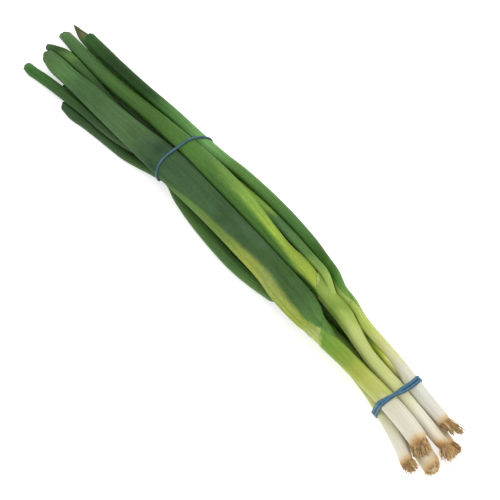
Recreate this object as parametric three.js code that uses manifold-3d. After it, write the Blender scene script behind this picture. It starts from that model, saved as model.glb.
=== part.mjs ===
// A bunch of seven spring onions lying on their side, held by two rubber bands.
// +X runs along the bunch to the roots, +Y across it and +Z up from the surface it lies on. Millimetres.
import * as THREE from 'three';
import { mergeVertices } from 'three/addons/utils/BufferGeometryUtils.js';
import Module from 'manifold-3d';

const wasm = await Module();
wasm.setup();

// Every stem and leaf is a strand: a tube whose rings stand at the same steps along the bunch.
const STEP = 12;
const FIRST_STEP = -216;
const STEPS = 35;
const STEM_SIDES = 12;
const LEAF_SIDES = 10;

// Settling: strands are laid down by these rows and pushed apart until none touch.
const CLEAR = 0.5;
const ROUNDS = 560;
const QUIET_ROUNDS = 160;
const STILL_ROUNDS = 60;
const SAG = 0.02;
const SIDE_HOLD = 0.03;
const STIFFNESS = 0.3;
const DIRECTIONS = 32;
const FLAT = 0.2;

// Stems, leaf tips and root plates
const STEM_ROUNDNESS = 0.95;
const LEAF_ROUNDNESS = 0.9;
const MOUTH_DEPTH = 9;
const MOUTH_BORE = 0.86;
const MOUTH_GAP = 0.4;
const MOUTH_EASE = 1.5;
const CUT_DEPTH = 8;
const CUT_BORE = 0.6;
const PLATE_GAP = 0.3;
const PLATE_LENGTH = 2.2;

// Roots
const ROOTS = 10;
const ROOT_RADIUS = 0.5;
const ROOT_SIDES = 4;
const ROOT_STEPS = 3;
const ROOT_CLEAR = 0.45;
const ROOT_TRIES = 600;
const ROOT_POINTS = 8;

// Rubber bands: each is a closed strip with a rounded section
const BAND_WIDTH = 2;
const BAND_THICKNESS = 1.1;
const BAND_GAP = 0.15;
const BAND_SIDES = 6;
const BAND_STEPS = 48;
const BAND_OUTLINE_POINTS = 48;
const BAND_AHEAD = 0.015;
const BAND_PLAY = 0.8;
const HALF_BUNCH = 18;

// Each band stands at x. It slants across the bunch and its two sides bow along the bunch about its middle.
// Turns that lie side by side are spread that far either way.
const UPPER_BAND = { x: -82, turns: 1, spread: 0, slant: -0.05, bow: 2.3, middle: 3.5 };
const LOWER_BAND = { x: 134.2, turns: 2, spread: 1.3, slant: 0.08, bow: -3, middle: -2 };

// Where the two turns of a band change places: parts of a turn from the top, and the gap between them
const SWAP_REACH = 0.12;
const OVER_REACH = 0.17;
const OVER_FADE = 0.08;
const OVER_GAP = 0.2;

// How far a band holds the strands off the surface, and the length over which that evens out
const BAND_LIFT = 1.45;
const BAND_LIFT_LENGTH = 30;

// Colours
const WHITE_STEM = 0xe6e6c8;
const GREEN_STEM = 0x9fb55a;
const LIGHT_LEAF = 0x5d8338;
const MID_LEAF = 0x46702f;
const DARK_LEAF = 0x3a5c33;
const DRY_LEAF = 0x5f6b3a;
const ROOT_TAN = 0xb18a56;
const BAND_BLUE = 0x2f6690;

// A row is [x, y, z, width]: a place of the strand's centre line before settling, and its width there.
// Leaf rows run from the tip to the base, stem rows from the mouth to the root end.
// The roots of each onion have lengths in the given range.
const ONIONS = [
  {
    roots: [7, 13],
    stem: [[68, 15.8, 14.5, 7.2], [84, 11.9, 14.5, 6.6], [100, 11, 14.5, 6.4], [118, 10, 15, 6.6],
      [126, 8.6, 15, 7.8], [134, 7.4, 15, 9], [151, 6.8, 14, 8.5], [164, 6.3, 13, 7.5]],
    leaves: [
      { tip: 'cut', depth: 6.5, colour: MID_LEAF,
        rows: [[-195, 15.2, 11, 7.8], [-187, 15, 11, 8.6], [-168, 15, 11, 8.6], [-154, 15.5, 11, 8.4],
          [-130, 17, 11, 8.1], [-116, 18.3, 11, 8], [-84, 20.6, 11.5, 8], [-62, 22.9, 12.5, 7.7],
          [-45, 25.5, 13, 7.5], [-11, 27.4, 13, 7.5], [22, 25.4, 13.2, 7.4], [40, 22.2, 13, 7.4],
          [56, 19.4, 12.6, 7], [66, 17.6, 13.2, 6.8], [76, 14.4, 14, 5]] },
      { tip: 'cut', depth: 5.5, colour: DARK_LEAF,
        rows: [[-160, 13, 3, 5.5], [-118, 18, 3, 6.5], [-84, 22, 3.5, 7], [-47, 24.5, 4, 7.5],
          [-13, 25, 4, 7.5], [22, 22, 6, 7], [60, 17, 8, 4]] },
    ],
  },
  {
    roots: [4, 7],
    stem: [[55, 13, 4.5, 6.5], [80, 12, 4.5, 6.4], [92, 9.8, 6.5, 5.8], [104, 7.8, 8.5, 5.4],
      [118, 7.2, 8.5, 5.4], [127, 7.4, 7.5, 5.8], [134, 8, 6, 6.2], [146, 6.5, 5, 6.8],
      [158, 3.5, 4.5, 7], [175, 0, 4, 7.5]],
    leaves: [
      { tip: 'cut', depth: 5.5, colour: DARK_LEAF,
        rows: [[-168, 6, 3, 5.5], [-134, 11, 3, 6.5], [-84, 14.8, 3, 6.5], [-66, 15.6, 3, 6.5],
          [-47, 17, 3, 7.5], [-13, 17.5, 3, 7.5], [22, 16, 4, 7.5], [63, 13, 4.5, 5.5]] },
    ],
  },
  {
    roots: [4, 8],
    stem: [[44, 12.8, 14, 11], [58, 12, 14, 10.8], [72, 11, 14.5, 10.6], [84, 8.2, 14.5, 9.2],
      [96, 5.2, 14.5, 8], [110, 2.6, 14.5, 7.4], [131, 1, 15, 7.5], [151, -0.3, 13.5, 7.8],
      [174, -2.2, 12, 7]],
    leaves: [
      { tip: 'cut', depth: 7, colour: LIGHT_LEAF,
        rows: [[-211, 5.6, 10, 7.8], [-190, 4.6, 11, 9], [-165, 5.2, 11.5, 9.6], [-147, 6.4, 12, 10],
          [-114, 9.5, 13.5, 10.8], [-84, 10.9, 15.5, 13], [-59, 12, 16, 15], [-28, 12.5, 16, 15],
          [-7, 11.5, 16, 13], [13, 11, 15.5, 11.3], [27, 11.5, 15, 11.2], [40, 11.8, 14.5, 10.2],
          [52, 11.6, 14, 8.8]] },
      { tip: 'dry', depth: 4.5, colour: DRY_LEAF,
        rows: [[-215, 16.5, 5, 2], [-208, 16, 5, 5], [-157, 14, 7, 6], [-119, 14.5, 7.5, 6],
          [-84, 15, 8.5, 6], [-47, 19, 8.5, 6], [-20, 21.5, 9.5, 6], [12, 20.5, 11, 6.5],
          [32, 18.6, 12.5, 5.6], [44, 17.2, 15, 5.2], [54, 15.4, 17.4, 4.8],
          [66, 14, 18.8, 4.2]] },
    ],
  },
  {
    roots: [6, 12],
    stem: [[76, -10.8, 15.5, 12], [84, -11, 15.1, 10.8], [92, -10.8, 15, 10.4], [108, -10.5, 14.5, 10.3],
      [128, -10.5, 15, 10.8], [153, -12, 15, 11.3], [165, -14.5, 15, 11]],
    leaves: [
      { tip: 'cut', depth: 7.5, colour: DARK_LEAF,
        rows: [[-201.8, -14.4, 10, 9.8], [-195.5, -14.2, 10, 12.4], [-180, -13.6, 10.5, 12.6],
          [-167, -12.9, 11, 13], [-148, -12, 12, 14.6], [-130, -11.1, 13, 16.4], [-110, -9.8, 14, 18.4],
          [-96, -8.7, 14.8, 20.3], [-80, -7.5, 15.5, 21.7], [-66, -7, 15.5, 21.7],
          [-52, -6.6, 15.3, 20.9], [-36, -6.2, 15, 20.3], [-4, -6, 15, 20], [22, -6.5, 15, 20],
          [40, -7.8, 15, 22], [58, -8.2, 15, 21], [66, -9, 15, 18.2], [72, -10.2, 15, 14.6],
          [78, -10.9, 15, 11], [84, -11, 15, 9.6]] },
      { tip: 'cut', depth: 5.5, colour: DARK_LEAF,
        rows: [[-167, -27.6, 4, 5.6], [-156, -26.8, 4, 6.3], [-144, -23.8, 4, 6.4],
          [-131, -21.4, 4, 6.5], [-108, -17.8, 4.5, 7], [-96, -14.8, 6, 7.5], [-84, -11, 7, 8],
          [-72, -9.2, 9, 8], [-60, -12, 8, 8.6], [-45, -14, 6, 9], [-10, -16.7, 6, 9.5],
          [6, -16.7, 6, 9], [20, -15.4, 6.5, 8.2], [34, -13.7, 7, 6.5], [46, -11.5, 8, 3.6]] },
    ],
  },
  {
    roots: [5, 9],
    stem: [[57, -9.5, 4.5, 7.2], [74, -8, 4.5, 7.2], [94, -6.3, 4.5, 7], [108, -6.5, 4.5, 7.2],
      [120, -7.7, 5, 7.5], [132, -10, 5.5, 7.8], [144, -12.8, 7, 8.2], [156, -16.8, 8, 8.5],
      [168, -22, 9, 8.5]],
    leaves: [
      { tip: 'cut', depth: 5.5, colour: MID_LEAF,
        rows: [[-208.7, -26.6, 4, 6.4], [-202, -26.2, 4, 7.4], [-188, -23.6, 4.5, 7.6],
          [-165, -20.6, 5.5, 7.4], [-147, -19, 6.5, 7.2], [-138, -18.6, 7.2, 7.1],
          [-127, -17.8, 7.5, 7], [-118, -16.4, 7.5, 6.9], [-108, -13.8, 6.8, 6.8],
          [-96, -8.6, 4.2, 6.6], [-84, -5.5, 3.2, 6.5], [-66, -4.8, 3, 6.5],
          [-43, -7.5, 3, 7.5], [-8, -8, 3, 7.5], [25, -9, 4, 7.5], [65, -9.5, 4.5, 5.5]] },
      { tip: 'cut', depth: 5.5, colour: DARK_LEAF,
        rows: [[-179.5, -19.2, 8, 4.6], [-167, -18, 8, 5.6], [-126, -12.5, 8.5, 6.5],
          [-84, -3, 8.7, 7.5], [-40, -2.5, 8.5, 7.5], [-6, -2.5, 8.5, 7.5], [27, -4, 9, 6.5],
          [52, -7, 10, 4]] },
    ],
  },
  {
    roots: [3, 6],
    stem: [[57, -2, 4.5, 7.2], [88, -0.6, 4.5, 6.4], [107, -1, 5, 6.6], [130, -4, 6, 8],
      [151, -10.5, 6, 10.4], [164, -13.2, 6, 11], [178, -16, 6, 11.2]],
    leaves: [
      { tip: 'cut', depth: 5.5, colour: MID_LEAF,
        rows: [[-209, -6.2, 6, 5.5], [-203, -4, 6, 6.4], [-192, -1.6, 5.5, 6.6], [-154, -1, 4, 6.5],
          [-116, 0.5, 3, 6.5], [-84, 1.4, 3, 6.5], [-66, 2, 3, 6.5], [-45, 0.5, 3, 7.5],
          [-10, 0.5, 3, 7.5], [24, -1, 4, 7], [65, -2, 4.5, 5.5]] },
    ],
  },
  {
    roots: [4, 7],
    stem: [[60, 5.5, 4.5, 7], [90, 5.5, 4.5, 6.2], [108, 4.5, 5, 6.2], [130, 2.2, 6, 6.8],
      [152, -3, 5, 7.2]],
    leaves: [
      { tip: 'cut', depth: 5.5, colour: DARK_LEAF,
        rows: [[-174, -1, 3, 5.5], [-131, 4, 3, 6.5], [-84, 8, 3, 6.5], [-66, 8.8, 3, 6.5],
          [-44, 9, 3, 7.5], [-7, 9, 3, 7.5], [26, 7, 4, 6.5], [68, 5.5, 4.5, 5]] },
    ],
  },
];

const stepX = (k) => FIRST_STEP + STEP * k;

// A repeatable draw of numbers from 0 to 1
function randomFrom(seed) {
  let state = seed;
  return () => {
    state = (state * 1664525 + 1013904223) % 4294967296;
    return state / 4294967296;
  };
}

// Strands ------------------------------------------------------------------------------------------

class Strand {
  constructor(name, kind, rows, options) {
    Object.assign(this, { name, kind, ...options });
    this.start = rows[0][0];
    this.end = rows[rows.length - 1][0];
    this.first = Math.max(0, Math.floor((this.start - FIRST_STEP) / STEP));
    this.last = Math.min(STEPS - 1, Math.ceil((this.end - FIRST_STEP) / STEP));
    const along = rows.map((row) => row[0]);
    const values = rows.flatMap((row) => row.slice(1));
    this.rows = new THREE.CubicInterpolant(along, values, 3);
    this.laid = [];
    for (let k = 0; k < STEPS; k++) {
      const inside = this.holder && stepX(k) > this.holder.start - STEP;
      const [y, z] = (inside ? this.holder : this).rows.evaluate(stepX(k));
      this.laid.push([y, z]);
    }
    this.moved = this.laid.map(() => [0, 0]);
    this.reach = this.laid.map((_, k) => this.reachAll(stepX(k)));
  }

  // Half the width and half the depth at x
  halfSize(x) {
    const width = this.rows.evaluate(x)[2];
    const leafDepth = Math.min(this.depth, width * LEAF_ROUNDNESS);
    const depth = this.kind === 'stem' ? width * STEM_ROUNDNESS : leafDepth;
    if (!this.holder || x < this.holder.start - MOUTH_EASE) return [width / 2, depth / 2];
    const [a, b] = this.holder.halfSize(x).map((half) => half * MOUTH_BORE - MOUTH_GAP);
    return [Math.min(width / 2, a), Math.min(depth / 2, b)];
  }

  // How far the section at x reaches from its centre in each direction
  reachAll(x) {
    const [a, b] = this.halfSize(x);
    return directions.map(([ny, nz]) => Math.hypot(a * ny, b * nz));
  }

  at(k) {
    return [this.laid[k][0] + this.moved[k][0], this.laid[k][1] + this.moved[k][1]];
  }

  // The settled centre line at any x: the laid curve plus the move of the nearest steps
  centre(x) {
    const k = THREE.MathUtils.clamp(Math.floor((x - FIRST_STEP) / STEP), 0, STEPS - 2);
    const part = THREE.MathUtils.clamp((x - stepX(k)) / STEP, 0, 1);
    const [y0, z0] = this.at(k);
    const [y1, z1] = this.at(k + 1);
    return [y0 + (y1 - y0) * part, z0 + (z1 - z0) * part];
  }

  // A point of the section at x: scale 1 is the skin and 0 the centre line. The underside lies flat.
  point(x, scale, angle) {
    const [y, z] = this.centre(x);
    const [a, b] = this.halfSize(x);
    const height = z + scale * b * Math.sin(angle);
    return new THREE.Vector3(x, y + scale * a * Math.cos(angle), Math.max(height, 0));
  }

  // Whether a point lies within a margin of this strand
  near(point, margin) {
    if (point.x < this.start - margin || point.x > this.end + PLATE_LENGTH + margin) return false;
    const [y, z] = this.centre(Math.min(point.x, this.end));
    const [a, b] = this.halfSize(Math.min(point.x, this.end));
    return Math.hypot((point.y - y) / (a + margin), (point.z - z) / (b + margin)) < 1;
  }
}

const directions = [];
for (let i = 0; i < DIRECTIONS; i++) {
  const angle = (2 * Math.PI * i) / DIRECTIONS;
  directions.push([Math.cos(angle), Math.sin(angle)]);
}

// The strands are held a little higher near each band, which keeps the band off the surface
function floorAt(x) {
  const rise = (band) => Math.exp(-(((x - band) / BAND_LIFT_LENGTH) ** 2));
  return (BAND_LIFT + FLAT) * Math.max(rise(UPPER_BAND.x), rise(LOWER_BAND.x)) - FLAT;
}

// Moves two strands apart at one step, along the direction in which they are least deep in each other
function pushApart(one, other, k) {
  const [y1, z1] = one.at(k);
  const [y2, z2] = other.at(k);
  let best = -Infinity;
  let way = null;
  for (let i = 0; i < DIRECTIONS; i++) {
    const [ny, nz] = directions[i];
    const between = (y2 - y1) * ny + (z2 - z1) * nz - one.reach[k][i] - other.reach[k][i];
    if (between > best) {
      best = between;
      way = directions[i];
    }
    if (best >= CLEAR) return;
  }
  const share = (CLEAR - best) / 2;
  for (const axis of [0, 1]) {
    one.moved[k][axis] -= share * way[axis];
    other.moved[k][axis] += share * way[axis];
  }
}

// Spreads each step's move to its neighbours, so that a strand bends and never kinks
function smooth(strand, amount) {
  const { first, last, moved } = strand;
  const old = moved.map((pair) => [...pair]);
  for (let k = first; k <= last; k++) {
    const before = old[Math.max(first, k - 1)];
    const after = old[Math.min(last, k + 1)];
    for (const axis of [0, 1]) {
      const middle = (before[axis] + after[axis]) / 2;
      moved[k][axis] += amount * (middle - old[k][axis]);
    }
  }
}

function keepAboveFloor(strand) {
  for (let k = strand.first; k <= strand.last; k++) {
    const low = strand.halfSize(stepX(k))[1] + floorAt(stepX(k));
    strand.moved[k][1] = Math.max(strand.moved[k][1], low - strand.laid[k][1]);
  }
}

// A leaf and the stem that holds its base move as one where they overlap along the bunch
function holdBases(strands) {
  for (const leaf of strands) {
    const stem = leaf.holder;
    if (!stem) continue;
    const from = Math.max(stem.first, leaf.first);
    const to = Math.min(stem.last, leaf.last);
    for (let k = from; k <= to; k++) {
      for (const axis of [0, 1]) {
        const shared = (stem.moved[k][axis] + leaf.moved[k][axis]) / 2;
        stem.moved[k][axis] = shared;
        leaf.moved[k][axis] = shared;
      }
    }
  }
}

function settle(strands) {
  for (let round = 0; round < ROUNDS; round++) {
    const quiet = round >= ROUNDS - QUIET_ROUNDS;
    for (const strand of strands) {
      if (round < ROUNDS - STILL_ROUNDS) smooth(strand, quiet ? STIFFNESS / 4 : STIFFNESS);
      if (quiet) continue;
      for (const pair of strand.moved) {
        pair[0] *= 1 - SIDE_HOLD;
        pair[1] -= SAG;
      }
    }
    for (let i = 0; i < strands.length; i++) {
      for (let j = i + 1; j < strands.length; j++) {
        const [one, other] = [strands[i], strands[j]];
        if (other.holder === one) continue;
        const from = Math.max(one.first, other.first);
        const to = Math.min(one.last, other.last);
        for (let k = from; k <= to; k++) pushApart(one, other, k);
      }
    }
    holdBases(strands);
    strands.forEach(keepAboveFloor);
  }
}

// Solids -------------------------------------------------------------------------------------------

// A geometry with only its position, each point held once and no face without area
function tidy(geometry) {
  geometry.deleteAttribute('normal');
  geometry.deleteAttribute('uv');
  const merged = mergeVertices(geometry, 1e-4);
  const corners = merged.index.array;
  const kept = [];
  for (let i = 0; i < corners.length; i += 3) {
    const [a, b, c] = corners.subarray(i, i + 3);
    if (a !== b && b !== c && c !== a) kept.push(a, b, c);
  }
  merged.setIndex(kept);
  return merged;
}

// A profile of [radius, x] pairs turned round the X axis, each point then moved by place(x, radius, angle).
// The turn starts so that a side, not a corner, lies underneath.
function turned(profile, sides, place) {
  const start = sides % 4 === 0 ? Math.PI / sides : 0;
  const outline = profile.map(([radius, x]) => new THREE.Vector2(radius, x));
  const geometry = new THREE.LatheGeometry(outline, sides, start);
  const position = geometry.attributes.position;
  for (let i = 0; i < position.count; i++) {
    const [side, x, up] = [position.getZ(i), position.getY(i), position.getX(i)];
    const point = place(x, Math.hypot(side, up), Math.atan2(up, side));
    position.setXYZ(i, point.x, point.y, point.z);
  }
  return tidy(geometry);
}

// The rings of a strand's skin between two places: at the shared steps, and where a leaf enters its stem
function skin(from, to, mouth) {
  const places = mouth === undefined ? [] : [mouth];
  for (let k = 0; k < STEPS; k++) places.push(stepX(k));
  const between = places.filter((x) => x > from + 1.5 && x < to - 1.5);
  return between.sort((p, q) => p - q).map((x) => [1, x]);
}

function stemGeometry(strand) {
  const { start, end } = strand;
  const profile = [
    [0, start + MOUTH_DEPTH], [MOUTH_BORE, start + MOUTH_DEPTH], [MOUTH_BORE, start], [1, start],
    ...skin(start, end - 4),
    [1, end - 4], [0.88, end - 1], [0.65, end], [0, end],
  ];
  return turned(profile, STEM_SIDES, (x, radius, angle) => strand.point(x, radius, angle));
}

function leafGeometry(strand) {
  const { start, end, tip, holder } = strand;
  const cutTip = [[0, start + CUT_DEPTH], [CUT_BORE, start + CUT_DEPTH], [0.75, start], [1, start + 2]];
  const dryTip = [[0, start], [0.8, start + 1.5]];
  const profile = [
    ...(tip === 'cut' ? cutTip : dryTip),
    ...skin(start + 2, end - 1, holder && holder.start - MOUTH_EASE),
    [1, end - 1], [0.7, end], [0, end],
  ];
  return turned(profile, LEAF_SIDES, (x, radius, angle) => strand.point(x, radius, angle));
}

const solidOf = (geometry) => new wasm.Manifold(new wasm.Mesh({
  numProp: 3,
  vertProperties: new Float32Array(geometry.attributes.position.array),
  triVerts: new Uint32Array(geometry.index.array),
}));

function geometryOf(solid) {
  const mesh = solid.getMesh();
  const geometry = new THREE.BufferGeometry();
  geometry.setAttribute('position', new THREE.BufferAttribute(mesh.vertProperties, 3));
  geometry.setIndex(new THREE.BufferAttribute(mesh.triVerts, 1));
  return geometry;
}

// One root: a thin tapering rod bent along a curve that leaves the plate and droops
function rootCurve(strand, random) {
  const [y, z] = strand.centre(strand.end);
  const [a, b] = strand.halfSize(strand.end);
  const turn = 2 * Math.PI * random();
  const out = 0.5 * Math.sqrt(random());
  const length = THREE.MathUtils.lerp(strand.roots[0], strand.roots[1], random());
  const lean = length * (0.1 + 0.5 * random());
  const foot = new THREE.Vector3(
    strand.end + PLATE_GAP + 0.8,
    y + out * a * Math.cos(turn),
    z + out * b * Math.sin(turn),
  );
  const middle = foot.clone().add(new THREE.Vector3(
    length * 0.5,
    lean * 0.5 * Math.cos(turn),
    lean * 0.5 * Math.sin(turn),
  ));
  const end = foot.clone().add(new THREE.Vector3(
    length * (0.6 + 0.35 * random()),
    lean * Math.cos(turn + random() - 0.5),
    lean * Math.sin(turn) - 0.35 * length * random(),
  ));
  return new THREE.QuadraticBezierCurve3(foot, middle, end);
}

function rootGeometry(curve) {
  const geometry = new THREE.CylinderGeometry(ROOT_RADIUS * 0.6, ROOT_RADIUS, 1, ROOT_SIDES, ROOT_STEPS);
  const position = geometry.attributes.position;
  const up = new THREE.Vector3(0, 0, 1);
  for (let i = 0; i < position.count; i++) {
    const part = position.getY(i) + 0.5;
    const ahead = curve.getTangent(part);
    const side = new THREE.Vector3().crossVectors(up, ahead).normalize();
    const over = new THREE.Vector3().crossVectors(ahead, side);
    const point = curve.getPoint(part);
    point.addScaledVector(side, position.getX(i));
    point.addScaledVector(over, -position.getZ(i));
    position.setXYZ(i, point.x, point.y, point.z);
  }
  return tidy(geometry);
}

// Whether a root stays above the surface and clear of other onions
function rootFits(curve, others, otherRoots) {
  for (const point of curve.getPoints(ROOT_POINTS)) {
    if (point.z < ROOT_RADIUS + 0.2) return false;
    if (others.some((strand) => strand.near(point, ROOT_RADIUS + ROOT_CLEAR))) return false;
    if (otherRoots.some((other) => other.distanceTo(point) < 2 * ROOT_RADIUS + ROOT_CLEAR)) return false;
  }
  return true;
}

function rootsGeometry(stem, others, otherRoots, seed) {
  const random = randomFrom(seed);
  const face = stem.end + PLATE_GAP;
  const plate = turned(
    [[0, face], [0.62, face], [0.5, face + PLATE_LENGTH * 0.7], [0.25, face + PLATE_LENGTH],
      [0, face + PLATE_LENGTH]],
    STEM_SIDES,
    (x, radius, angle) => {
      const point = stem.point(stem.end, radius, angle);
      return point.setX(x);
    },
  );
  let solid = solidOf(plate);
  const own = [];
  for (let tries = 0, made = 0; made < ROOTS && tries < ROOT_TRIES; tries++) {
    const curve = rootCurve(stem, random);
    if (!rootFits(curve, others, otherRoots)) continue;
    solid = solid.add(solidOf(rootGeometry(curve)));
    own.push(...curve.getPoints(ROOT_POINTS));
    made++;
  }
  otherRoots.push(...own);
  return geometryOf(solid);
}

// Bands --------------------------------------------------------------------------------------------

// How far along the bunch a band lies at y from its own place
function bandShift(band, y) {
  return band.slant * y + band.bow * ((y - band.middle) / HALF_BUNCH) ** 4;
}

// The tight loop round every strand where a band passes, as a closed list of [y, z]
function loopRound(strands, band) {
  const reach = band.spread + BAND_WIDTH / 2 + BAND_PLAY;
  const points = [];
  for (const strand of strands) {
    if (band.x < strand.start || band.x > strand.end) continue;
    for (let i = 0; i < BAND_OUTLINE_POINTS; i++) {
      const angle = (2 * Math.PI * i) / BAND_OUTLINE_POINTS;
      const x = band.x + bandShift(band, strand.point(band.x, 1, angle).y);
      for (const place of [x - reach, x, x + reach]) {
        const point = strand.point(place, 1, angle);
        points.push([point.y, point.z]);
      }
    }
  }
  points.sort((p, q) => p[0] - q[0] || p[1] - q[1]);
  const cross = (o, p, q) => (p[0] - o[0]) * (q[1] - o[1]) - (p[1] - o[1]) * (q[0] - o[0]);
  const halfHull = (list) => {
    const hull = [];
    for (const point of list) {
      while (hull.length > 1 && cross(hull.at(-2), hull.at(-1), point) <= 0) hull.pop();
      hull.push(point);
    }
    hull.pop();
    return hull;
  };
  return [...halfHull(points), ...halfHull(points.reverse())];
}

// The loop as a smooth function of its turn (0 to 1 from the top), with the outward direction
function bandPath(strands, band) {
  const hull = loopRound(strands, band).map(([y, z]) => new THREE.Vector3(0, y, z));
  const middle = new THREE.Box3().setFromPoints(hull).getCenter(new THREE.Vector3());
  const curve = new THREE.CurvePath();
  hull.forEach((point, i) => curve.add(new THREE.LineCurve3(point, hull[(i + 1) % hull.length])));
  const length = curve.getLength();
  const top = hull.reduce((best, point, i) => (
    Math.abs(point.y - middle.y) - point.z < Math.abs(hull[best].y - middle.y) - hull[best].z ? i : best
  ), 0);
  const before = curve.getCurveLengths()[top - 1] ?? 0;
  const pointAt = (turn) => curve.getPointAt((((before / length + turn) % 1) + 1) % 1);
  return (turn) => {
    const ahead = pointAt(turn + BAND_AHEAD).sub(pointAt(turn - BAND_AHEAD)).normalize();
    const out = new THREE.Vector3(0, ahead.z, -ahead.y);
    return { point: pointAt(turn), out };
  };
}

// A band of one or two turns. Two turns lie side by side and change places on top, one over the other.
function bandGeometry(strands, band) {
  const { turns, spread } = band;
  const path = bandPath(strands, band);
  const geometry = new THREE.TorusGeometry(1, 0.1, BAND_SIDES, BAND_STEPS * turns);
  const position = geometry.attributes.position;
  const reach = BAND_THICKNESS / 2 + BAND_GAP;
  for (let i = 0; i < position.count; i++) {
    const step = i % (BAND_STEPS * turns + 1);
    const side = Math.floor(i / (BAND_STEPS * turns + 1));
    const around = (2 * Math.PI * side) / BAND_SIDES;
    const turn = (step / BAND_STEPS) - 0.5;
    const nearTop = turn - Math.round(turn);
    const swap = Math.sin(THREE.MathUtils.clamp(nearTop / SWAP_REACH, -1, 1) * Math.PI / 2);
    const order = Math.round(turn) % 2 === 0 ? 1 : -1;
    const upper = THREE.MathUtils.smoothstep(OVER_REACH - Math.abs(nearTop), 0, OVER_FADE);
    const over = order > 0 ? upper : 0;
    const { point, out } = path(turn);
    point.addScaledVector(out, reach + (turns - 1) * over * (BAND_THICKNESS + OVER_GAP));
    point.addScaledVector(out, (BAND_THICKNESS / 2) * Math.cos(around));
    const across = (turns - 1) * order * swap * spread + (BAND_WIDTH / 2) * Math.sin(around);
    position.setXYZ(i, band.x + bandShift(band, point.y) + across, point.y, point.z);
  }
  return tidy(geometry);
}

// The bunch ----------------------------------------------------------------------------------------

const bunch = new THREE.Group();

function addPiece(name, geometry, colour, roughness) {
  const material = new THREE.MeshStandardMaterial({ color: colour, roughness, metalness: 0 });
  const mesh = new THREE.Mesh(geometry, material);
  mesh.name = name;
  bunch.add(mesh);
}

const stems = [];
const leaves = [];
ONIONS.forEach((onion, i) => {
  const name = `onion_${i + 1}`;
  const stem = new Strand(`${name}_stem`, 'stem', onion.stem, { roots: onion.roots });
  stems.push(stem);
  onion.leaves.forEach(({ rows, ...look }, j) => {
    const holder = j === 0 ? stem : undefined;
    leaves.push(new Strand(`${name}_leaf_${j + 1}`, 'leaf', rows, { ...look, holder }));
  });
});
settle([...stems, ...leaves]);

for (const stem of stems) addPiece(stem.name, stemGeometry(stem), WHITE_STEM, 0.45);
for (const leaf of leaves) addPiece(leaf.name, leafGeometry(leaf), leaf.colour, 0.5);

const rootPoints = [];
stems.forEach((stem, i) => {
  const others = stems.filter((other) => other !== stem);
  addPiece(`onion_${i + 1}_roots`, rootsGeometry(stem, others, rootPoints, i + 11), ROOT_TAN, 0.9);
});

const all = [...stems, ...leaves];
addPiece('upper_band', bandGeometry(all, UPPER_BAND), BAND_BLUE, 0.6);
addPiece('lower_band', bandGeometry(all, LOWER_BAND), BAND_BLUE, 0.6);

// The origin is under the middle of the bunch
const box = new THREE.Box3().setFromObject(bunch);
const middle = box.getCenter(new THREE.Vector3());
for (const mesh of bunch.children) mesh.geometry.translate(-middle.x, -middle.y, 0);

export default bunch;
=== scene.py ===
"""A bunch of seven spring onions lying on a pale table, tied with two blue rubber bands.

Lengths are in millimetres until a mesh is made. X runs along the bunch, from the leaf tips to the roots.
"""

import math

import bpy
import numpy as np
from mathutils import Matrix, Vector


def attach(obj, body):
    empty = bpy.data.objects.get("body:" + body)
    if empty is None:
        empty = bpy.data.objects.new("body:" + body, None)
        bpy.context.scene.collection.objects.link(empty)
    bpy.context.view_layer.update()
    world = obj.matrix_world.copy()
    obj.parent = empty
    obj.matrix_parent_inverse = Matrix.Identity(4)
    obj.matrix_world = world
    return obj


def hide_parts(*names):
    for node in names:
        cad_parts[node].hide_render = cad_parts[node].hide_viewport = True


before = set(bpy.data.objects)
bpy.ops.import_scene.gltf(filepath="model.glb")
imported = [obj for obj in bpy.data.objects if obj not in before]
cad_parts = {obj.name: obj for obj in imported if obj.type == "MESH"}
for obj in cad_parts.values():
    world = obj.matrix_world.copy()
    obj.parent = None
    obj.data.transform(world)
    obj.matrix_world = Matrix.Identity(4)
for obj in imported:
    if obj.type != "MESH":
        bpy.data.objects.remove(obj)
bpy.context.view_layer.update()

MM = 0.001
PICTURE_SIDE = 500  # pixels

# The camera, the light and the table
CAMERA_AZIMUTH = 50.2
CAMERA_ELEVATION = 60.0
CAMERA_DISTANCE = 900.0
SCALE_AT_TARGET = 0.62  # mm a pixel
CAMERA_TARGET = (15.22, -0.58, 12.0)
TARGET_PIXEL = (255.6, 242.4)
SENSOR = 36.0
SKY = 0.85
KEY_LAMP = {"azimuth": 125.0, "elevation": 62.0, "distance": 1.6, "size": 1.1, "power": 9.0}  # m and W
TABLE_REACH = 4.0  # m
TABLE_GLOW = 0.5  # the table is lit from within, so it stays nearly white under the bunch

# The rings of a strand's CAD solid
RING_STEP = 12.0
FIRST_RING = -200.78
LEAF_RIM = 2.0
LEAF_END = 1.0
STEM_END = 4.0
STEM_POLYGON = math.cos(math.radians(15.0))  # a corner is not at the widest place
LEAF_POLYGON = math.sin(math.radians(72.0))

# The skins
SIDES = 56
LEAF_ROW = 1.5
STEM_ROW = 1.2
PLUMP = 0.14  # closes the CAD's clearance between the strands
LEAF_WALL = 0.55
SHEATH_WALL = 0.45
TIP_DEPTH = 9.0
INNER_ROWS = 7  # inside an open end
RIM_ROWS = ((0.35, 1.0), (0.1, 0.8), (0.0, 0.5), (0.1, 0.2))  # along and inward, in walls
STEM_END_ROWS = ((2.6, 0.25), (1.4, 0.9), (0.6, 1.9), (0.1, 3.1))  # from the end and inward
INNER_REACH = 14.0  # how far a leaf goes on inside its stem
MOUTH_BLEND = 16.0  # a leaf takes the size of its stem over this length
UNDER_OPEN = 0.5  # how far a leaf lies inside the open side of the sheath it comes from
UNDER_CLOSED = 0.12  # and inside its closed side
INNER_DEPTH = 0.6  # and how much further once it is well inside
PINCH_LENGTH = 16.0  # a leaf is pinched flat over this length at its tip
PINCH = 0.55  # how much of its depth goes at most
HOOK_THINS = 0.08  # how much narrower a tip gets for each mm that it turns
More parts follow.
